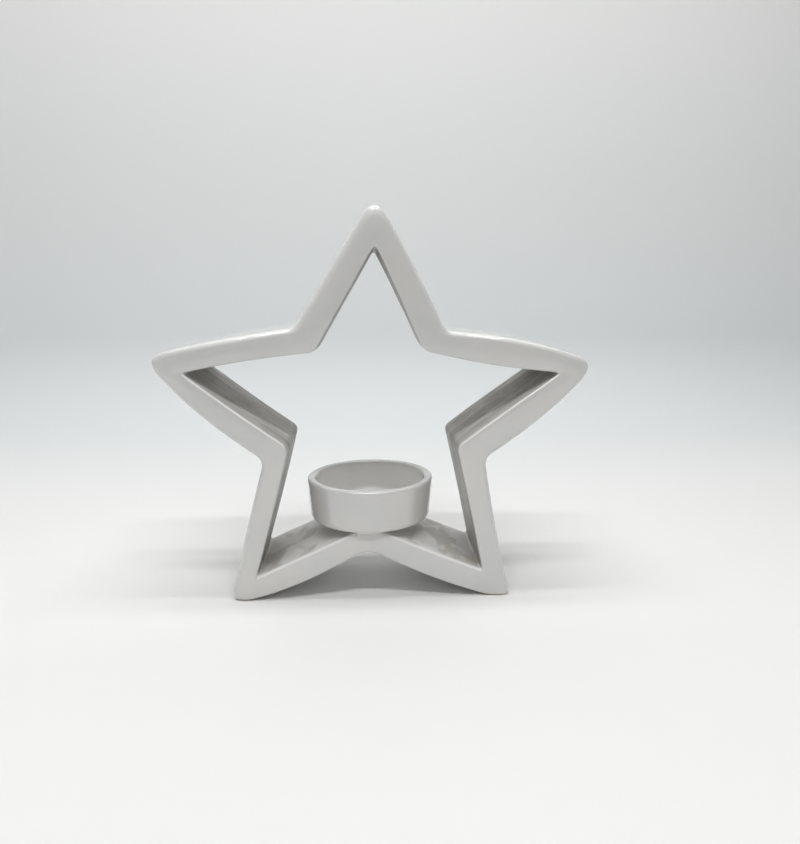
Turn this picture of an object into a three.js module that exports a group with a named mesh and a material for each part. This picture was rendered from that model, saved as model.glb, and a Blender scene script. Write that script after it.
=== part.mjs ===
// A tealight holder of white glazed ceramic: an open five-pointed star that stands on its two lower
// points, with a round cup for one tealight bonded to the crest between them.
//
// Millimetres. +X runs across the star, +Y from its front face to its back face, +Z up.
// The table is z = 0, and the origin is under the middle of the whole holder.

import * as THREE from 'three';

// ---- driving dimensions --------------------------------------------------------------------------

const STAR_DEPTH = 40;
const STAR_CENTRE_HEIGHT = 63.2;

// Corners of the star before rounding. Each entry is the corner's distance from the star's centre,
// its angle in degrees, how far the side after it bows outwards at its middle, and how far along
// each side the corner's rounding starts. The lists run clockwise from the top point, and points and
// notches take turns. The casting moved a little as it dried and fired, so it isn't quite regular:
// its side points droop and its legs spread.
const OUTER_CORNERS = [
  [78.8, 88.6, 0.6, 8], [42.8, 52.2, 1.8, 3.2],
  [83, 15.7, 1.8, 8], [42.6, -15.9, -0.6, 3.2],
  [84.8, -51.8, 1.4, 6.5], [45, -91.5, 1.8, 5.5],
  [83.9, -128.1, 0.2, 8], [39.4, -163.1, 1.9, 3.4],
  [81, 161.8, 0.6, 8], [43.4, 126.1, -0.1, 3.2],
];
const INNER_CORNERS = [
  [61.3, 88, 0.2, 2], [32, 55.8, -0.9, 2.8],
  [67.6, 16, -0.2, 2], [30.8, -13, 0.2, 2.6],
  [66.1, -52.7, 0.2, 2], [35.4, -91, 0, 3.5],
  [67.3, -127.2, -0.3, 2], [28.7, -167, 0.3, 3.2],
  [65.4, 162.7, 0.6, 2], [31.9, 125.8, 0, 2],
];

const OUTER_EDGE_RADIUS = 2;    // along the front and back faces
const INNER_EDGE_RADIUS = 0.8;
const DRAFT = 0.4;              // each wall leans in by this much from mid-depth to its edge

const CUP_RIM_RADIUS = 23.6;
const CUP_INSIDE_RADIUS = 20.5;
const CUP_BOTTOM_HEIGHT = 25.2;
const CUP_HEIGHT = 16;
const CUP_INSIDE_DEPTH = 12;
const CUP_TAPER = 0.9;          // how much narrower the cup is at its foot than at its rim
const CUP_FOOT_RADIUS = 2.7;    // of the rounded edge between its side and its underside
const CUP_FLOOR_FILLET = 2;

const SEAT_HEIGHT = 24.2;       // the crest between the legs is pared flat here to take the cup
const SLIP_GAP = 0.3;
const SLIP_HALF_WIDTH = 13;
const SLIP_DEPTH = 37;

// How finely the round stretches are divided.
const CORNER_STEPS = 4;
const SIDE_STEPS = 4;
const EDGE_STEPS = 3;
const CUP_STEPS = 48;
const FILLET_STEPS = 4;
const SLIP_STEPS = 12;

// ---- materials -----------------------------------------------------------------------------------

function glaze(name) {
  return new THREE.MeshStandardMaterial({ name, color: 0xe2e1df, roughness: 0.16, metalness: 0 });
}

// ---- the star's outlines -------------------------------------------------------------------------

// The corner positions, with a control point between each two that bows the side outwards.
function controlPolygon(corners) {
  const points = corners.map(([radius, degrees]) => {
    const angle = THREE.MathUtils.degToRad(degrees);
    return new THREE.Vector2(radius * Math.cos(angle), STAR_CENTRE_HEIGHT + radius * Math.sin(angle));
  });
  return points.flatMap((point, i) => {
    const next = points[(i + 1) % points.length];
    const along = next.clone().sub(point).normalize();
    const outwards = new THREE.Vector2(-along.y, along.x);
    const bow = corners[i][2];
    const control = point.clone().add(next).multiplyScalar(0.5).addScaledVector(outwards, 2 * bow);
    return [point, control];
  });
}

// The point where two lines cross, each given by a point and a direction.
function crossing(a, alongA, b, alongB) {
  const reach = b.clone().sub(a).cross(alongB) / alongA.cross(alongB);
  return a.clone().addScaledVector(alongA, reach);
}

// The same polygon with every side moved inwards by a distance, or outwards by a negative one.
function inset(polygon, distance) {
  const sides = polygon.map((point, i) => {
    const along = polygon[(i + 1) % polygon.length].clone().sub(point).normalize();
    const start = point.clone().add(new THREE.Vector2(along.y, -along.x).multiplyScalar(distance));
    return { start, along };
  });
  return sides.map((side, i) => {
    const before = sides[(i + sides.length - 1) % sides.length];
    if (Math.abs(before.along.cross(side.along)) < 1e-6) return side.start;
    return crossing(before.start, before.along, side.start, side.along);
  });
}

// A smooth outline from a control polygon: every corner is a curve, and so is every side.
function roundedOutline(polygon, corners) {
  const towards = (from, to, length) => from.clone().add(to.clone().sub(from).setLength(length));
  return corners.flatMap(([, , , rounding], i) => {
    const corner = polygon[2 * i];
    const before = polygon[(2 * i + polygon.length - 1) % polygon.length];
    const after = polygon[2 * i + 1];
    const nextCorner = polygon[(2 * i + 2) % polygon.length];
    const nextRounding = corners[(i + 1) % corners.length][3];
    const start = towards(corner, before, rounding);
    const end = towards(corner, after, rounding);
    const sideEnd = towards(nextCorner, after, nextRounding);
    const cornerCurve = new THREE.QuadraticBezierCurve(start, corner, end);
    const sideCurve = new THREE.QuadraticBezierCurve(end, after, sideEnd);
    return [
      ...cornerCurve.getPoints(CORNER_STEPS).slice(0, -1),
      ...sideCurve.getPoints(SIDE_STEPS).slice(0, -1),
    ];
  });
}

const outerPolygon = controlPolygon(OUTER_CORNERS);
const innerPolygon = controlPolygon(INNER_CORNERS);

function outerOutline(recess) {
  return roundedOutline(inset(outerPolygon, recess), OUTER_CORNERS);
}

function innerOutline(recess) {
  return roundedOutline(inset(innerPolygon, -recess), INNER_CORNERS).map(paredToSeat);
}

// The crest between the legs, pared down to the seat. Every other point stays where it is.
function paredToSeat(point) {
  const isCrest = Math.abs(point.x) < CUP_RIM_RADIUS && point.y < STAR_CENTRE_HEIGHT / 2;
  return isCrest ? new THREE.Vector2(point.x, Math.min(point.y, SEAT_HEIGHT)) : point;
}

// ---- the star ------------------------------------------------------------------------------------

// A wall from the front face to the back face, as [y, recess] pairs: a rounded edge, the drafted
// wall out to mid-depth, and the same again mirrored. The recess is measured into the clay.
function wallProfile(edgeRadius) {
  const front = [];
  for (let step = 0; step <= EDGE_STEPS; step++) {
    const angle = (step / EDGE_STEPS) * (Math.PI / 2);
    const y = -STAR_DEPTH / 2 + edgeRadius * (1 - Math.cos(angle));
    front.push([y, DRAFT + edgeRadius * (1 - Math.sin(angle))]);
  }
  const back = front.map(([y, recess]) => [-y, recess]).reverse();
  return [...front, [0, 0], ...back];
}

// A closed skin over rings of equally many points, each ring joined to the next and the last to the
// first.
function skinOverRings(rings) {
  const count = rings[0].length;
  const positions = rings.flat().flatMap((point) => point.toArray());
  const indices = [];
  rings.forEach((_, ring) => {
    const nextRing = (ring + 1) % rings.length;
    for (let i = 0; i < count; i++) {
      const next = (i + 1) % count;
      const a = ring * count + i;
      const b = ring * count + next;
      const c = nextRing * count + next;
      const d = nextRing * count + i;
      indices.push(a, b, c, a, c, d);
    }
  });
  const geometry = new THREE.BufferGeometry();
  geometry.setAttribute('position', new THREE.Float32BufferAttribute(positions, 3));
  geometry.setIndex(indices);
  return geometry;
}

// One casting. Where the two lower points would pass the table they are ground flat, as feet.
function starFrame() {
  const ring = (outline, y) => outline.map(({ x, y: z }) => new THREE.Vector3(x, y, Math.max(z, 0)));
  const outside = wallProfile(OUTER_EDGE_RADIUS).map(([y, recess]) => ring(outerOutline(recess), y));
  const inside = wallProfile(INNER_EDGE_RADIUS).map(([y, recess]) => ring(innerOutline(recess), y));
  const mesh = new THREE.Mesh(skinOverRings([...outside, ...inside.reverse()]), glaze('star_glaze'));
  mesh.name = 'star_frame';
  return mesh;
}

// ---- the cup -------------------------------------------------------------------------------------

// Points of a round corner, from one angle to another in degrees.
function arc(centreX, centreY, radius, fromDegrees, toDegrees) {
  return Array.from({ length: FILLET_STEPS + 1 }, (_, step) => {
    const degrees = fromDegrees + (step / FILLET_STEPS) * (toDegrees - fromDegrees);
    const angle = THREE.MathUtils.degToRad(degrees);
    return new THREE.Vector2(centreX + radius * Math.cos(angle), centreY + radius * Math.sin(angle));
  });
}

// Half the cup's section, from the middle of its underside round the rim to the middle of its floor.
function cupProfile() {
  const floor = CUP_HEIGHT - CUP_INSIDE_DEPTH;
  const footRadius = CUP_RIM_RADIUS - CUP_TAPER;
  const rimRadius = (CUP_RIM_RADIUS - CUP_INSIDE_RADIUS) / 2;
  return [
    new THREE.Vector2(0, 0),
    ...arc(footRadius - CUP_FOOT_RADIUS, CUP_FOOT_RADIUS, CUP_FOOT_RADIUS, -90, 0),
    ...arc(CUP_INSIDE_RADIUS + rimRadius, CUP_HEIGHT - rimRadius, rimRadius, 0, 180),
    ...arc(CUP_INSIDE_RADIUS - CUP_TAPER - CUP_FLOOR_FILLET, floor + CUP_FLOOR_FILLET,
      CUP_FLOOR_FILLET, 0, -90),
    new THREE.Vector2(0, floor),
  ];
}

function tealightCup() {
  const geometry = new THREE.LatheGeometry(cupProfile(), CUP_STEPS).rotateX(Math.PI / 2);
  const mesh = new THREE.Mesh(geometry, glaze('cup_glaze'));
  mesh.name = 'tealight_cup';
  mesh.position.z = CUP_BOTTOM_HEIGHT;
  return mesh;
}

// ---- the slip joint ------------------------------------------------------------------------------

// The height of the crest between the legs at a place across it.
function crestHeight(x) {
  const floor = innerOutline(0)
    .filter((point) => Math.abs(point.x) < STAR_DEPTH && point.y < CUP_BOTTOM_HEIGHT)
    .sort((a, b) => a.x - b.x);
  const after = floor.findIndex((point) => point.x > x);
  const [left, right] = [floor[after - 1], floor[after]];
  return THREE.MathUtils.mapLinear(x, left.x, right.x, left.y, right.y);
}

// The bead of slip that bonds the cup to the star. Its top is flat under the cup, and its underside
// follows the crest of the star, so it is thin in the middle and thicker where the crest falls away.
function slipJoint() {
  const top = CUP_BOTTOM_HEIGHT - SLIP_GAP;
  const underside = Array.from({ length: SLIP_STEPS + 1 }, (_, step) => {
    const x = SLIP_HALF_WIDTH * (2 * step / SLIP_STEPS - 1);
    return new THREE.Vector2(x, crestHeight(x) + SLIP_GAP);
  });
  const shape = new THREE.Shape([
    ...underside,
    new THREE.Vector2(SLIP_HALF_WIDTH, top),
    new THREE.Vector2(-SLIP_HALF_WIDTH, top),
  ]);
  const settings = { depth: SLIP_DEPTH, steps: 1, bevelEnabled: false };
  const geometry = new THREE.ExtrudeGeometry(shape, settings).rotateX(Math.PI / 2);
  geometry.translate(0, SLIP_DEPTH / 2, 0);
  const mesh = new THREE.Mesh(geometry, glaze('slip_glaze'));
  mesh.name = 'slip_joint';
  return mesh;
}

// ---- the holder ----------------------------------------------------------------------------------

const tealightHolder = new THREE.Group();
tealightHolder.add(starFrame(), tealightCup(), slipJoint());

// The cup stands over the crest, and the star's side points reach unequally far from it, so the
// whole holder moves sideways until its middle is over the origin.
const extent = new THREE.Box3().setFromObject(tealightHolder);
tealightHolder.position.x = -(extent.min.x + extent.max.x) / 2;

export default tealightHolder;
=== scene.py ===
"""A white glazed ceramic tealight holder, an open star with a cup on its crest, in a light box.

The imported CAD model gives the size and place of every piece. The fine surfaces are made here:
the star's soft edges and slightly uneven cast walls, the cup's rolled rim, and the bead of slip
that bonds the two. Lengths are in millimetres until a mesh is made, and in metres after that.
"""

import math

import bpy
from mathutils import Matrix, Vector, noise


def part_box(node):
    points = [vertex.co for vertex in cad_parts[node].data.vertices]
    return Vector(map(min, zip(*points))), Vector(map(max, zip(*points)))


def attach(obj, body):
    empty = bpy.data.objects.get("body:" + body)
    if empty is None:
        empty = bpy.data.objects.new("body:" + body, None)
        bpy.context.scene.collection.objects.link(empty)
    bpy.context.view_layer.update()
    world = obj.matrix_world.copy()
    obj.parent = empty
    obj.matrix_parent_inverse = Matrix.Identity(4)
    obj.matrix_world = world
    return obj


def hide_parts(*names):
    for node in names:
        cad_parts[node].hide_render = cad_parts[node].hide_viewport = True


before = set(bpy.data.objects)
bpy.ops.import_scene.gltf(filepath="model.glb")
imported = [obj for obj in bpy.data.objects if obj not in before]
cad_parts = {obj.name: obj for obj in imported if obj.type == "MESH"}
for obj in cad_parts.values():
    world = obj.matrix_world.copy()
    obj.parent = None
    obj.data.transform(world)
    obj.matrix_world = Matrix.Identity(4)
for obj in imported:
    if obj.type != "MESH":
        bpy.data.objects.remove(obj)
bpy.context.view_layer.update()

MM = 0.001
scene = bpy.context.scene

# ---- driving dimensions, in millimetres ----------------------------------------------------------

STAR_CENTRE_HEIGHT = 63.2
HALF_DEPTH = 20.0

# Corners of the star before rounding, clockwise from the top point, tips and notches in turn:
# distance from the star's centre, angle in degrees, how far the side after it bows outwards, how
# far along each side the corner's rounding starts at the front face and at the back face, and the
# radius of the following side's front edge and of its back edge.
OUTER_CORNERS = [
    (78.8, 88.6, 0.6, 8, 8, 1.7, 2.0),
    (42.8, 52.2, 1.8, 3.2, 3.4, 1.9, 2.0),
    (83, 15.7, 1.8, 8, 8, 2.0, 2.0),
    (42.6, -15.9, -0.6, 3.2, 3.4, 1.7, 2.0),
    (84.8, -51.8, 1.4, 6.5, 7, 1.5, 1.9),
    (45, -91.5, 1.8, 5.5, 5.5, 1.5, 1.9),
    (83.9, -128.1, 0.2, 8, 7.5, 1.9, 2.0),
    (39.4, -163.1, 1.9, 3.4, 3.4, 1.8, 2.0),
    (81, 161.8, 0.6, 8, 8, 2.2, 2.1),
    (43.4, 126.1, -0.1, 3.2, 3.4, 2.7, 2.2),
]
INNER_CORNERS = [
    (61.3, 88, 0.2, 2, 2, 0.8, 1.2),
    (32, 55.8, -0.9, 2.8, 2.2, 0.8, 1.2),
    (67.6, 16, -0.2, 2, 2, 0.8, 1.5),
    (30.8, -13, 0.2, 2.6, 1.9, 0.7, 1.2),
    (66.1, -52.7, 0.2, 2, 2, 1.4, 2.2),
    (35.4, -91, 0, 3.5, 3.5, 1.4, 2.2),
    (67.3, -127.2, -0.3, 2, 2, 0.8, 1.2),
    (28.7, -167, 0.3, 3.2, 2.2, 0.8, 1.5),
    (65.4, 162.7, 0.6, 2, 2, 0.8, 1.2),
    (31.9, 125.8, 0, 2.0, 2.0, 0.8, 1.2),
]
# The top arm's right side thins towards the back, where its lower corner is this much further out.
BACK_CORNER_WARP = {1: 1.7}
DRAFT = 0.4

SEAT_HEIGHT = 25.1
SEAT_BLEND = 0.3           # how softly the seat runs out into the crest
FOOT_BLEND = 0.5           # how softly the feet's ground flats run out into the corners
CUP_RIM_RADIUS = 23.6
CUP_INSIDE_RADIUS = 20.5
CUP_BOTTOM_HEIGHT = 25.2
CUP_HEIGHT = 16.0
CUP_INSIDE_DEPTH = 12.0
CUP_TAPER = 0.9
CUP_FOOT_RADIUS = 2.7
CUP_FLOOR_FILLET = 2.4
RIM_CROWN = 1.15           # how far the rolled rim drops to where the straight walls start

FACE_CROWN = 0.16          # how far the front and back faces swell at the middle of an arm
CAST_UNEVENNESS = 0.09     # slow rise and fall of the cast surface
UNEVEN_PATCH = 17.0        # how far apart its rises are

CORNER_STEPS = 12
SIDE_STEPS = 26
EDGE_STEPS = 8
WALL_STEPS = 14
FACE_STEPS = 7

# The CAD stands the whole holder's middle over the origin, so the star's centre is where the cup is.
cup_low, cup_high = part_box("tealight_cup")
CENTRE_X = (cup_low.x + cup_high.x) / 2 / MM


# ---- mesh helpers --------------------------------------------------------------------------------

def mesh_object(name, points, faces, material):
    """A smooth-shaded mesh from points in millimetres."""
    mesh = bpy.data.meshes.new(name)
    mesh.from_pydata([point * MM for point in points], [], faces)
    mesh.validate()
    mesh.update()
    mesh.polygons.foreach_set("use_smooth", [True] * len(mesh.polygons))
    mesh.materials.append(material)
    piece = bpy.data.objects.new(name, mesh)
    scene.collection.objects.link(piece)
    return piece


def closed_skin(rings):
    """Quads that join each ring to the next, and the last to the first."""
    count = len(rings[0])
    faces = []
    for ring in range(len(rings)):
        here = ring * count
        there = (ring + 1) % len(rings) * count
        for i in range(count):
            j = (i + 1) % count
            faces.append((here + i, here + j, there + j, there + i))
    return faces


def swell(piece, amount, patch, seed, keep_below=None):
    """Moves a surface in and out along its normals by slow, fixed noise, in millimetres."""
    mesh = piece.data
    offset = Vector((seed * 13.7, seed * 5.1, seed * 9.3))
    normals = [vertex.normal.copy() for vertex in mesh.vertices]
    for vertex, normal in zip(mesh.vertices, normals):
        place = vertex.co / (patch * MM) + offset
        height = noise.noise(place) + 0.4 * noise.noise(place * 2.3 + offset)
        vertex.co += normal * (height * amount * MM)
        if keep_below is not None:
            vertex.co.z = max(vertex.co.z, keep_below * MM)
    mesh.update()


def dab(piece, centre, radius, height):
    """A small round blob of glaze on a surface. All in millimetres."""
    middle = Vector(centre) * MM
    mesh = piece.data
    normals = [vertex.normal.copy() for vertex in mesh.vertices]
    for vertex, normal in zip(mesh.vertices, normals):
        distance = (vertex.co - middle).length / (radius * MM)
        if distance < 2.5:
            vertex.co += normal * (height * MM * math.exp(-2 * distance * distance))
    mesh.update()


def smooth_max(value, limit, softness):
    """The larger of two numbers, with the change from one to the other rounded off."""
    over = value - limit
    return limit + (over + math.sqrt(over * over + softness * softness)) / 2


def smooth_min(value, limit, softness):
    return -smooth_max(-value, -limit, softness)


# ---- the star's outlines -------------------------------------------------------------------------

def control_polygon(corners):
    """Corner positions, with a control point between each two that bows the side outwards."""
    points = []
    for radius, degrees, *_ in corners:
        angle = math.radians(degrees)
        points.append(Vector((radius * math.cos(angle), STAR_CENTRE_HEIGHT + radius * math.sin(angle))))
    polygon = []
    for i, point in enumerate(points):
        following = points[(i + 1) % len(points)]
        along = (following - point).normalized()
        outwards = Vector((-along.y, along.x))
        polygon.append(point)
        polygon.append((point + following) / 2 + outwards * (2 * corners[i][2]))
    return polygon


def cross(a, b):
    return a.x * b.y - a.y * b.x


def inset(polygon, distance):
    """The same polygon with every side moved inwards."""
    sides = []
    for i, point in enumerate(polygon):
        along = (polygon[(i + 1) % len(polygon)] - point).normalized()
        sides.append((point + Vector((along.y, -along.x)) * distance, along))
    moved = []
    for i, (start, along) in enumerate(sides):
        before, before_along = sides[i - 1]
        turn = cross(before_along, along)
        if abs(turn) < 1e-6:
            moved.append(start)
        else:
            moved.append(before + before_along * (cross(start - before, along) / turn))
    return moved


def curve_points(a, b, c, steps):
    """Points along a quadratic curve, without its last."""
    points = []
    for step in range(steps):
        t = step / steps
        points.append(a * (1 - t) ** 2 + b * (2 * t * (1 - t)) + c * t ** 2)
    return points


def rounded_outline(polygon, roundings):
    """A smooth outline from a control polygon: every corner is a curve, and so is every side."""
    outline = []
    for i, rounding in enumerate(roundings):
        corner, after = polygon[2 * i], polygon[2 * i + 1]
        before = polygon[2 * i - 1]
        next_corner = polygon[(2 * i + 2) % len(polygon)]
        next_rounding = roundings[(i + 1) % len(roundings)]
        start = corner + (before - corner).normalized() * rounding
        end = corner + (after - corner).normalized() * rounding
        side_end = next_corner + (after - next_corner).normalized() * next_rounding
        outline += curve_points(start, corner, end, CORNER_STEPS)
        outline += curve_points(end, after, side_end, SIDE_STEPS)
    return outline


def edge_radii(corners, column):
    """The edge radius at every point of an outline: each side keeps its own, blended at corners."""
    radii = []
    for i, corner in enumerate(corners):
        before, here = corners[i - 1][column], corner[column]
        for step in range(CORNER_STEPS):
            t = step / CORNER_STEPS
            radii.append(before + (here - before) * t * t * (3 - 2 * t))
        radii += [here] * SIDE_STEPS
    return radii


class Wall:
    """One wall of the star, outer or inner, as rings of points from the front face to the back.

    An outline moves in proportion to its recess and to its depth, so four outlines give the rest.
    """

    def __init__(self, corners, inwards, warp):
        warped = [(corner[0] + warp.get(i, 0), *corner[1:]) for i, corner in enumerate(corners)]
        self.front, self.front_step = self.face_outline(corners, inwards, 3)
        self.back, self.back_step = self.face_outline(warped, inwards, 4)
        self.front_radii = edge_radii(corners, 5)
        self.back_radii = edge_radii(corners, 6)

    def face_outline(self, corners, inwards, column):
        """The outline on one face, and how it moves for each millimetre of recess."""
        roundings = [corner[column] for corner in corners]
        polygon = control_polygon(corners)
        flush = rounded_outline(polygon, roundings)
        recessed = rounded_outline(inset(polygon, inwards), roundings)
        return flush, [far - near for near, far in zip(flush, recessed)]

    def ring(self, depths, recesses):
        points = []
        for i, (y, recess) in enumerate(zip(depths, recesses)):
            towards_back = (y + HALF_DEPTH) / (2 * HALF_DEPTH)
            front = self.front[i] + self.front_step[i] * recess
            back = self.back[i] + self.back_step[i] * recess
            flat = front.lerp(back, towards_back)
            points.append(Vector((flat.x, y, flat.y)))
        return points

    def rings(self):
        """From the front face's edge to the back face's edge."""
        rings = []
        for step in range(EDGE_STEPS + 1):
            angle = step / EDGE_STEPS * math.pi / 2
            depths = [-HALF_DEPTH + r * (1 - math.cos(angle)) for r in self.front_radii]
            recesses = [DRAFT + r * (1 - math.sin(angle)) for r in self.front_radii]
            rings.append(self.ring(depths, recesses))
        for step in range(1, WALL_STEPS):
            t = step / WALL_STEPS
            depths = []
            for front, back in zip(self.front_radii, self.back_radii):
                start, end = -HALF_DEPTH + front, HALF_DEPTH - back
                depths.append(start + (end - start) * t)
            recess = DRAFT * (2 * t - 1) ** 2
            rings.append(self.ring(depths, [recess] * len(depths)))
        for step in range(EDGE_STEPS, -1, -1):
            angle = step / EDGE_STEPS * math.pi / 2
            depths = [HALF_DEPTH - r * (1 - math.cos(angle)) for r in self.back_radii]
            recesses = [DRAFT + r * (1 - math.sin(angle)) for r in self.back_radii]
            rings.append(self.ring(depths, recesses))
        return rings


def crowned_face(outer_ring, inner_ring, direction):
    """Rings across a face, from the outer edge to the inner one, swelling a little in the middle."""
    rings = []
    for step in range(1, FACE_STEPS):
        t = step / FACE_STEPS
        rise = FACE_CROWN * math.sin(math.pi * t) * direction
        ring = [a.lerp(b, t) + Vector((0, rise, 0)) for a, b in zip(outer_ring, inner_ring)]
        rings.append(ring)
    return rings


def pared_to_seat(ring):
    """The crest between the legs, pared down to take the cup."""
    for point in ring:
        is_crest = abs(point.x) < CUP_RIM_RADIUS and point.z < STAR_CENTRE_HEIGHT / 2
        if is_crest:
            point.z = smooth_min(point.z, SEAT_HEIGHT, SEAT_BLEND)


def mark_lining(star, first, count, ring_size):
    """Attributes that are 1 on the inner walls, and 1 on the rounded edges on either side of them."""
    lining = star.data.attributes.new("lining", "FLOAT", "POINT")
    edge = star.data.attributes.new("edge", "FLOAT", "POINT")
    for ring in range(count):
        from_edge = min(ring, count - 1 - ring)
        share = min(max((from_edge - 0.8 * EDGE_STEPS) / (0.3 * EDGE_STEPS), 0), 1)
        on_edge = math.sin(math.pi * min(from_edge / EDGE_STEPS, 1))
        for i in range(ring_size):
            lining.data[(first + ring) * ring_size + i].value = share
            edge.data[(first + ring) * ring_size + i].value = on_edge


def make_star(material):
    outer = Wall(OUTER_CORNERS, 1, {}).rings()
    inner = Wall(INNER_CORNERS, -1, BACK_CORNER_WARP).rings()
    for ring in inner:
        pared_to_seat(ring)
    front = crowned_face(inner[0], outer[0], -1)
    back = crowned_face(outer[-1], inner[-1], 1)
    rings = outer + back + inner[::-1] + front
    points = []
    for ring in rings:
        for point in ring:
            height = smooth_max(point.z, 0, FOOT_BLEND) - 0.02
            points.append(Vector((point.x + CENTRE_X, point.y, max(height, 0))))
    star = mesh_object("star_fine", points, closed_skin(rings), material)
    mark_lining(star, len(outer) + len(back), len(inner), len(inner[0]))
    swell(star, CAST_UNEVENNESS, UNEVEN_PATCH, 3, keep_below=0)
    return star


# ---- the cup -------------------------------------------------------------------------------------

def arc(centre, radius, from_degrees, to_degrees, steps):
    points = []
    for step in range(steps + 1):
        angle = math.radians(from_degrees + (to_degrees - from_degrees) * step / steps)
        points.append(Vector((centre[0] + radius * math.cos(angle), centre[1] + radius * math.sin(angle))))
    return points


def between(a, b, steps):
    """Points strictly between two others."""
    return [a.lerp(b, step / steps) for step in range(1, steps)]


def cup_section():
    """Half the cup's section, from near the middle of its underside round the rim to its floor."""
    floor = CUP_HEIGHT - CUP_INSIDE_DEPTH
    foot_radius = CUP_RIM_RADIUS - CUP_TAPER
    lip = (CUP_RIM_RADIUS - CUP_INSIDE_RADIUS) / 2
    foot = arc((foot_radius - CUP_FOOT_RADIUS, CUP_FOOT_RADIUS), CUP_FOOT_RADIUS, -90, 0, 10)
    rim = []
    for point in arc((0, 0), 1, 0, 180, 20):
        across = math.copysign(abs(point.x) ** 0.62, point.x)
        up = point.y ** 0.8
        rim.append(Vector((CUP_INSIDE_RADIUS + lip + lip * across, CUP_HEIGHT - RIM_CROWN * (1 - up))))
    fillet_x = CUP_INSIDE_RADIUS - CUP_TAPER - CUP_FLOOR_FILLET
    fillet = arc((fillet_x, floor + CUP_FLOOR_FILLET), CUP_FLOOR_FILLET, 0, -90, 8)
    section = between(Vector((0, 0)), foot[0], 8)
    section += foot + between(foot[-1], rim[0], 8)
    section += rim + between(rim[-1], fillet[0], 8)
    section += fillet + between(fillet[-1], Vector((0, floor)), 14)
    return section, floor


def make_cup(material):
    section, floor = cup_section()
    spokes = 224
    points = [Vector((CENTRE_X, 0, CUP_BOTTOM_HEIGHT))]
    for radius, height in section:
        for spoke in range(spokes):
            angle = 2 * math.pi * spoke / spokes
            wander = 0.10 * math.sin(2 * angle + 0.6) + 0.05 * math.sin(3 * angle + 2.1)
            lift = (0.10 * math.sin(angle + 0.9) + 0.07 * math.sin(2 * angle - 0.4)) * height / CUP_HEIGHT
            r = radius + wander * radius / CUP_RIM_RADIUS
            x, y = r * math.cos(angle), r * math.sin(angle)
            points.append(Vector((CENTRE_X + x, y, CUP_BOTTOM_HEIGHT + height + lift)))
    points.append(Vector((CENTRE_X, 0, CUP_BOTTOM_HEIGHT + floor)))
    faces = []
    last = len(points) - 1
    for spoke in range(spokes):
        following = (spoke + 1) % spokes
        faces.append((0, 1 + following, 1 + spoke))
        for row in range(len(section) - 1):
            a = 1 + row * spokes
            b = a + spokes
            faces.append((a + spoke, a + following, b + following, b + spoke))
        top = 1 + (len(section) - 1) * spokes
        faces.append((top + spoke, top + following, last))
    cup = mesh_object("cup_fine", points, faces, material)
    swell(cup, 0.07, 9.0, 5)
    return cup


# ---- the slip joint ------------------------------------------------------------------------------

SLIP_MIDDLE = -0.9
SLIP_HALF_WIDTH = 10.4
SLIP_REACH = 20.0          # to the front and back faces, where the cup meets the crest's top
SLIP_DRAWN_BACK = 3.4      # how much less far the bead reaches out to either side of that
SLIP_SINK = 0.15           # into the star and the cup, so that no gap shows


def crest_heights():
    """The pared crest's height across it, as (x, z) pairs in order."""
    outline = Wall(INNER_CORNERS, -1, {}).front
    crest = [point for point in outline if abs(point.x) < HALF_DEPTH and point.y < STAR_CENTRE_HEIGHT / 2]
    return sorted((point.x, smooth_min(point.y, SEAT_HEIGHT, SEAT_BLEND)) for point in crest)


def height_at(crest, x):
    for (left, left_z), (right, right_z) in zip(crest, crest[1:]):
        if left <= x <= right:
            return left_z + (right_z - left_z) * (x - left) / (right - left)
    return SEAT_HEIGHT


def smooth_step(value, low, high):
    t = min(max((value - low) / (high - low), 0), 1)
    return t * t * (3 - 2 * t)


def make_slip(material):
    """A bead between the cup's underside and the crest, smoothed off flush at the front and back."""
    around, up = 240, 12
    crest = crest_heights()
    points = []
    for row in range(up + 1):
        t = row / up
        flare = (2 * t - 1) ** 2
        for step in range(around):
            angle = 2 * math.pi * step / around
            c, s = math.cos(angle), math.sin(angle)
            square = (abs(c) ** 4 + abs(s) ** 4) ** -0.25
            wobble = 0.45 * noise.noise(Vector((c * 2.5, s * 2.5, 4.2)))
            across = c * square
            x = SLIP_MIDDLE + across * (SLIP_HALF_WIDTH + 0.8 * flare + wobble)
            from_middle = smooth_step(abs(x - SLIP_MIDDLE), 3.5, 8.0)
            reach = SLIP_REACH + 0.25 * (2 * t - 1) - SLIP_DRAWN_BACK * from_middle
            y = s * square * (reach + 0.4 * flare * from_middle + 0.3 * wobble * from_middle)
            at_edge = smooth_step(abs(y), SLIP_REACH - 1.2, SLIP_REACH) * (1 - from_middle)
            low = height_at(crest, x) - SLIP_SINK - 0.8 * at_edge
            high = CUP_BOTTOM_HEIGHT + SLIP_SINK + 0.05 * at_edge
            points.append(Vector((x + CENTRE_X, y, low + (high - low) * t)))
    faces = []
    for row in range(up):
        for step in range(around):
            following = (step + 1) % around
            a, b = row * around, (row + 1) * around
            faces.append((a + step, a + following, b + following, b + step))
    for row, height in ((0, height_at(crest, SLIP_MIDDLE)), (up, CUP_BOTTOM_HEIGHT)):
        centre = len(points)
        points.append(Vector((SLIP_MIDDLE + CENTRE_X, 0, height)))
        for step in range(around):
            a = row * around + step
            b = row * around + (step + 1) % around
            faces.append((a, b, centre) if row else (b, a, centre))
    return mesh_object("slip_fine", points, faces, material)


# ---- materials -----------------------------------------------------------------------------------

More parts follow.
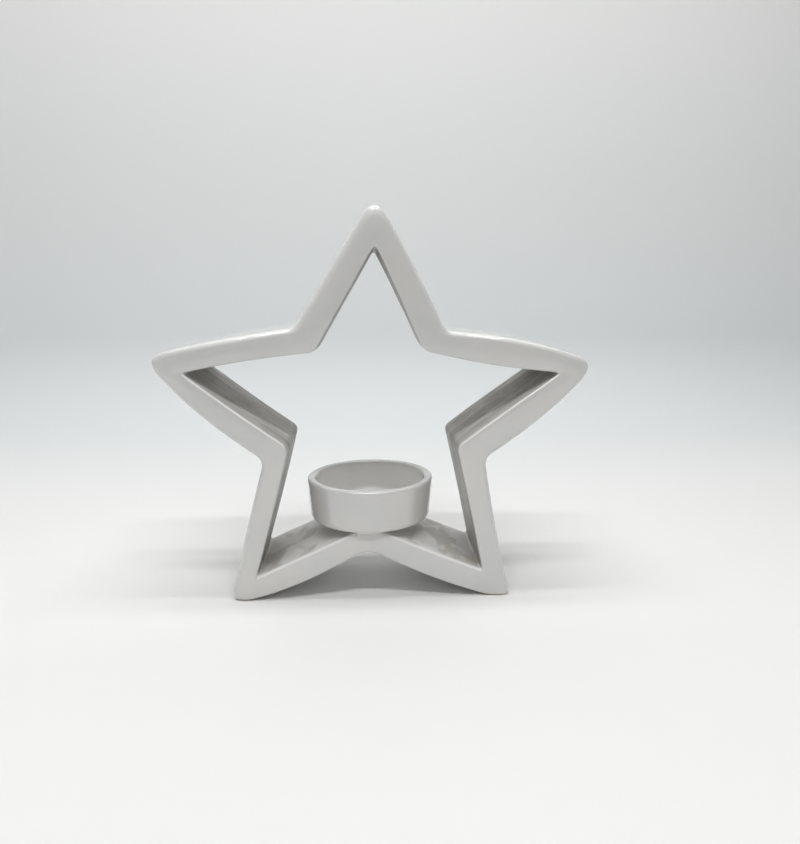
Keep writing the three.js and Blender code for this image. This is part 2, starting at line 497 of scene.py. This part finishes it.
class Nodes:
    """Short ways to add shader nodes to one material."""

    def __init__(self, name):
        self.material = bpy.data.materials.new(name)
        self.material.use_nodes = True
        self.tree = self.material.node_tree
        self.shader = self.tree.nodes["Principled BSDF"]
        self.place = self.add("ShaderNodeTexCoord").outputs["Object"]

    def add(self, kind, **settings):
        node = self.tree.nodes.new(kind)
        for key, value in settings.items():
            setattr(node, key, value)
        return node

    def feed(self, socket, value):
        if isinstance(value, bpy.types.NodeSocket):
            self.tree.links.new(value, socket)
        else:
            socket.default_value = value

    def stretched(self, scale):
        node = self.add("ShaderNodeMapping")
        self.feed(node.inputs["Vector"], self.place)
        node.inputs["Scale"].default_value = scale
        return node.outputs["Vector"]

    def noise(self, scale, detail=3.0, roughness=0.5, vector=None):
        node = self.add("ShaderNodeTexNoise")
        self.feed(node.inputs["Vector"], vector or self.place)
        node.inputs["Scale"].default_value = scale
        node.inputs["Detail"].default_value = detail
        node.inputs["Roughness"].default_value = roughness
        return node.outputs["Fac"]

    def ramp(self, value, low, high, to_low=0.0, to_high=1.0):
        node = self.add("ShaderNodeMapRange", interpolation_type="SMOOTHSTEP")
        self.feed(node.inputs["Value"], value)
        node.inputs["From Min"].default_value = low
        node.inputs["From Max"].default_value = high
        node.inputs["To Min"].default_value = to_low
        node.inputs["To Max"].default_value = to_high
        return node.outputs["Result"]

    def math(self, operation, a, b=0.0):
        node = self.add("ShaderNodeMath", operation=operation)
        self.feed(node.inputs[0], a)
        self.feed(node.inputs[1], b)
        return node.outputs[0]

    def mix(self, factor, a, b):
        node = self.add("ShaderNodeMix", data_type="RGBA")
        self.feed(node.inputs["Factor"], factor)
        self.feed(node.inputs["A"], a)
        self.feed(node.inputs["B"], b)
        return node.outputs["Result"]

    def bump(self, height, distance, strength=1.0, under=None):
        node = self.add("ShaderNodeBump")
        self.feed(node.inputs["Height"], height)
        node.inputs["Distance"].default_value = distance
        node.inputs["Strength"].default_value = strength
        if under is not None:
            self.feed(node.inputs["Normal"], under)
        return node.outputs["Normal"]


GLAZE_WHITE = (0.745, 0.738, 0.720, 1)
GLAZE_COOL = (0.718, 0.718, 0.709, 1)
GLAZE_POOLED = (0.70, 0.695, 0.675, 1)
# Painted highlight: the pale colour laid along the inner edges that face up.
EDGE_PAINTED_HIGHLIGHT = (0.95, 0.945, 0.93, 1)
# Painted shade, in part: the inner walls' darker colours, also from a thin brushed glaze.
LINING_THIN_SHADED = (0.34, 0.325, 0.30, 1)
LINING_THICK_SHADED = (0.50, 0.49, 0.47, 1)
LINING_POOLED = (0.76, 0.75, 0.73, 1)
LINING_DRIBBLE = (0.57, 0.54, 0.50, 1)
# Painted light: the paler colour inside the cup.
WELL_PAINTED_LIGHT = (0.86, 0.855, 0.838, 1)
BISCUIT = (0.52, 0.41, 0.29, 1)
SPECK = (0.45, 0.38, 0.30, 1)


class Glaze(Nodes):
    """White glaze over a pale body: a little clouded, greyer in hollows, with faint strokes."""

    def __init__(self, name, cloud_scale):
        super().__init__(name)
        clouds = self.noise(cloud_scale, detail=4, roughness=0.55)
        self.colour = self.mix(self.ramp(clouds, 0.42, 0.62), GLAZE_WHITE, GLAZE_COOL)
        geometry = self.add("ShaderNodeNewGeometry")
        hollow = self.ramp(geometry.outputs["Pointiness"], 0.495, 0.46)
        self.colour = self.mix(self.math("MULTIPLY", hollow, 0.6), self.colour, GLAZE_POOLED)
        specks = self.add("ShaderNodeTexVoronoi", feature="F1")
        self.feed(specks.inputs["Vector"], self.place)
        specks.inputs["Scale"].default_value = 240
        is_speck = self.ramp(specks.outputs["Distance"], 0.05, 0.02)
        chosen = self.ramp(self.noise(cloud_scale * 2.4, detail=1), 0.64, 0.70)
        self.speck = self.math("MULTIPLY", is_speck, chosen)
        self.colour = self.mix(self.math("MULTIPLY", self.speck, 0.45), self.colour, SPECK)
        self.strokes = self.noise(1, detail=3, roughness=0.45, vector=self.stretched((55, 330, 55)))
        self.roughness = self.ramp(clouds, 0.3, 0.7, 0.19, 0.27)
        self.stroke_height = self.math("MULTIPLY", self.strokes, 0.15)
        self.shader.inputs["IOR"].default_value = 1.5
        self.shader.inputs["Coat Weight"].default_value = 1
        self.shader.inputs["Coat Roughness"].default_value = 0.03
        self.shader.inputs["Coat IOR"].default_value = 1.6

    def finish(self):
        self.feed(self.shader.inputs["Base Color"], self.colour)
        self.feed(self.shader.inputs["Roughness"], self.roughness)
        normal = self.bump(self.noise(260, detail=1), 0.00005)
        normal = self.bump(self.stroke_height, 0.00012, under=normal)
        normal = self.bump(self.math("SUBTRACT", 1, self.speck), 0.00005, under=normal)
        self.feed(self.shader.inputs["Normal"], normal)
        return self.material


def star_glaze():
    """Inside the star the glaze is brushed on thinly, and the inner walls are darker, partly from that and
    partly painted shade; the glaze pools in the feet, and is wiped off below.

    A whiter line along the inner edges that face up is a painted highlight, standing in for the bright
    reflection on them.
    """
    n = Glaze("star_glaze_fine", 36)
    lining = n.add("ShaderNodeAttribute", attribute_name="lining").outputs["Fac"]
    height = n.add("ShaderNodeSeparateXYZ")
    n.feed(height.inputs[0], n.place)
    facing = n.add("ShaderNodeSeparateXYZ")
    n.feed(facing.inputs[0], n.add("ShaderNodeNewGeometry").outputs["Normal"])
    streaks = n.noise(1, detail=5, roughness=0.6, vector=n.stretched((26, 260, 26)))
    brushed_and_shaded = n.mix(n.ramp(streaks, 0.40, 0.62), LINING_THIN_SHADED, LINING_THICK_SHADED)
    runs = n.noise(1, detail=3, roughness=0.5, vector=n.stretched((95, 60, 95)))
    pooled = n.mix(n.ramp(runs, 0.40, 0.50), LINING_DRIBBLE, LINING_POOLED)
    low = n.ramp(height.outputs["Z"], 0.030, 0.024)
    is_pool = n.math("MULTIPLY", n.ramp(low, 0, 1, 0.35, 1), n.ramp(facing.outputs["Z"], 0.4, 0.8))
    edge = n.add("ShaderNodeAttribute", attribute_name="edge").outputs["Fac"]
    # Painted highlight: a whiter colour on the inner edges that face up.
    n.colour = n.mix(n.math("MULTIPLY", edge, n.ramp(facing.outputs["Z"], 0.1, 0.6)), n.colour, EDGE_PAINTED_HIGHLIGHT)
    # Painted shade, in part: the inner walls take the darker brushed colour.
    n.colour = n.mix(lining, n.colour, n.mix(is_pool, brushed_and_shaded, pooled))
    lined = n.math("MULTIPLY", lining, n.ramp(streaks, 0.35, 0.65, 0.34, 0.20))
    n.roughness = n.math("ADD", n.roughness, lined)
    n.feed(n.shader.inputs["Coat Weight"], n.ramp(lining, 0, 1, 1, 0))
    n.stroke_height = n.math("MULTIPLY", n.strokes, n.ramp(lining, 0, 1, 0.15, 0.4))
    ragged = n.math("MULTIPLY", n.noise(700, detail=3), 0.0007)
    bare = n.ramp(n.math("SUBTRACT", height.outputs["Z"], ragged), 0.00035, 0.0)
    n.colour = n.mix(bare, n.colour, BISCUIT)
    n.roughness = n.math("MAXIMUM", n.roughness, n.math("MULTIPLY", bare, 0.7))
    return n.finish()


def cup_glaze():
    """The glaze is coloured paler inside the cup, as painted light."""
    n = Glaze("cup_glaze_fine", 47)
    from_axis = n.add("ShaderNodeVectorMath", operation="SUBTRACT")
    n.feed(from_axis.inputs[0], n.place)
    from_axis.inputs[1].default_value = (CENTRE_X * MM, 0, 0)
    flat = n.add("ShaderNodeVectorMath", operation="MULTIPLY")
    n.feed(flat.inputs[0], from_axis.outputs[0])
    flat.inputs[1].default_value = (1, 1, 0)
    reach = n.add("ShaderNodeVectorMath", operation="LENGTH")
    n.feed(reach.inputs[0], flat.outputs[0])
    height = n.add("ShaderNodeSeparateXYZ")
    n.feed(height.inputs[0], n.place)
    above_floor = n.ramp(height.outputs["Z"], (CUP_BOTTOM_HEIGHT + 2.5) * MM, (CUP_BOTTOM_HEIGHT + 3.5) * MM)
    inside = n.ramp(reach.outputs["Value"], (CUP_INSIDE_RADIUS + 0.4) * MM, (CUP_INSIDE_RADIUS - 0.3) * MM)
    # Painted light: the inside of the cup is made paler.
    n.colour = n.mix(n.math("MULTIPLY", inside, above_floor), n.colour, WELL_PAINTED_LIGHT)
    return n.finish()


def floor_material():
    """Matt vinyl, a little cooler where it turns up into the back wall."""
    n = Nodes("floor_vinyl")
    tone = n.noise(3.5, detail=3)
    colour = n.mix(tone, (0.83, 0.83, 0.82, 1), (0.86, 0.86, 0.85, 1))
    parts = n.add("ShaderNodeSeparateXYZ")
    n.feed(parts.inputs[0], n.place)
    far = n.ramp(parts.outputs["Y"], 0.05, 0.30)
    low = n.ramp(parts.outputs["Z"], 0.45, 0.05)
    cool = n.math("MULTIPLY", n.math("MULTIPLY", far, low), 0.7)
    n.feed(n.shader.inputs["Base Color"], n.mix(cool, colour, (0.80, 0.83, 0.84, 1)))
    n.feed(n.shader.inputs["Roughness"], n.ramp(n.noise(600, detail=2), 0.3, 0.7, 0.55, 0.65))
    n.shader.inputs["Specular IOR Level"].default_value = 0.25
    return n.material


# ---- the holder ----------------------------------------------------------------------------------

star = make_star(star_glaze())
cup = make_cup(cup_glaze())
slip = make_slip(Glaze("slip_glaze_fine", 80).finish())
dab(cup, (CENTRE_X - CUP_RIM_RADIUS, 2.0, CUP_BOTTOM_HEIGHT + 6.5), 1.2, 0.4)
dab(star, (CENTRE_X + 2.2, -HALF_DEPTH, STAR_CENTRE_HEIGHT + 60.6), 1.3, 0.4)
for piece, node, slot in (
    (star, "star_frame", "star_glaze"),
    (cup, "tealight_cup", "cup_glaze"),
    (slip, "slip_joint", "slip_glaze"),
):
    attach(piece, "root")
    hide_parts(node)

# ---- the light box -------------------------------------------------------------------------------

WALL_DISTANCE = 0.34
SWEEP_RADIUS = 0.07
BOX_HALF_WIDTH = 1.0
FLOOR_FRONT = -0.9
WALL_HEIGHT = 1.0


def make_backdrop():
    """A pale sheet that runs from the floor up the back of the box in one curve."""
    section = [(FLOOR_FRONT, 0.0), (WALL_DISTANCE - SWEEP_RADIUS, 0.0)]
    for step in range(1, 33):
        angle = step / 32 * math.pi / 2
        y = WALL_DISTANCE - SWEEP_RADIUS + SWEEP_RADIUS * math.sin(angle)
        section.append((y, SWEEP_RADIUS * (1 - math.cos(angle))))
    section.append((WALL_DISTANCE, WALL_HEIGHT))
    points = []
    for y, z in section:
        points.append(Vector((-BOX_HALF_WIDTH, y, z)) / MM)
        points.append(Vector((BOX_HALF_WIDTH, y, z)) / MM)
    faces = []
    for row in range(len(section) - 1):
        a = 2 * row
        faces.append((a, a + 1, a + 3, a + 2))
    return mesh_object("backdrop", points, faces, floor_material())


make_backdrop()

STRIP_HEIGHT = 0.70
STRIP_LENGTH = 0.56


def area_light(name, location, aim, size, power):
    data = bpy.data.lights.new(name, "AREA")
    data.shape = "RECTANGLE"
    data.size, data.size_y = size
    data.energy = power
    light = bpy.data.objects.new(name, data)
    light.location = location
    light.rotation_euler = (Vector(aim) - Vector(location)).to_track_quat("-Z", "Y").to_euler()
    light.visible_camera = False
    scene.collection.objects.link(light)


STRIP = (STRIP_LENGTH, 0.03)
# Where each light is, the place it points at, its size (all in metres), and its power in watts.
LIGHTS = {
    "strip_over": ((0, -0.058, STRIP_HEIGHT), (0, -0.058, 0), STRIP, 1.15),
    "strip_front": ((0, -0.333, STRIP_HEIGHT), (0, -0.2, 0), STRIP, 2.3),
    "ceiling": ((0, 0, 1.3), (0, 0, 0), (1.6, 1.6), 0.8),
    "front_panel": ((0, -1.2, 0.9), (0, 0, 0.05), (1.2, 0.8), 2.3),
    "left_panel": ((-1, 0, 0.5), (0, 0, 0.05), (0.9, 0.9), 0.8),
    "right_panel": ((1, 0, 0.5), (0, 0, 0.05), (0.9, 0.9), 0.1),
    "wall_washer": ((0, 0.05, 0.95), (0, WALL_DISTANCE, 0.35), (1.2, 0.1), 3.1),
}
ROOM_STRENGTH = 0.01
ROOM_LIGHT = (0.97, 0.985, 1.0, 1)
ROOM_PALE = (0.62, 0.65, 0.66, 1)

for name, (location, aim, size, power) in LIGHTS.items():
    area_light(name, location, aim, size, power)


def make_room():
    """The room round the light box: pale grey to the camera, and dim to everything else."""
    room = bpy.data.worlds.new("room")
    room.use_nodes = True
    tree = room.node_tree
    dim = tree.nodes["Background"]
    dim.inputs["Color"].default_value = ROOM_LIGHT
    dim.inputs["Strength"].default_value = ROOM_STRENGTH
    pale = tree.nodes.new("ShaderNodeBackground")
    pale.inputs["Color"].default_value = ROOM_PALE
    path = tree.nodes.new("ShaderNodeLightPath")
    either = tree.nodes.new("ShaderNodeMixShader")
    tree.links.new(path.outputs["Is Camera Ray"], either.inputs["Fac"])
    tree.links.new(dim.outputs["Background"], either.inputs[1])
    tree.links.new(pale.outputs["Background"], either.inputs[2])
    tree.links.new(either.outputs["Shader"], tree.nodes["World Output"].inputs["Surface"])
    return room


scene.world = make_room()

# ---- the camera ----------------------------------------------------------------------------------

# The camera is a little lower than the star's top, a quarter of a metre in front of the cup's middle.
CAMERA_SIDE = -0.0019
CAMERA_DISTANCE = 0.25063
CAMERA_HEIGHT = 0.11137
CAMERA_PITCH = 11.261
CAMERA_YAW = 3.055

camera_data = bpy.data.cameras.new("camera")
camera_data.sensor_width = 36
camera_data.lens = 29.0
camera_data.clip_start = 0.01
camera = bpy.data.objects.new("camera", camera_data)
cup_centre = (cup_low + cup_high) / 2
camera.location = (cup_centre.x + CAMERA_SIDE, cup_centre.y - CAMERA_DISTANCE, CAMERA_HEIGHT)
camera.rotation_euler = (math.radians(90 - CAMERA_PITCH), 0, math.radians(-CAMERA_YAW))
scene.collection.objects.link(camera)
scene.camera = camera
scene.view_settings.view_transform = "Standard"
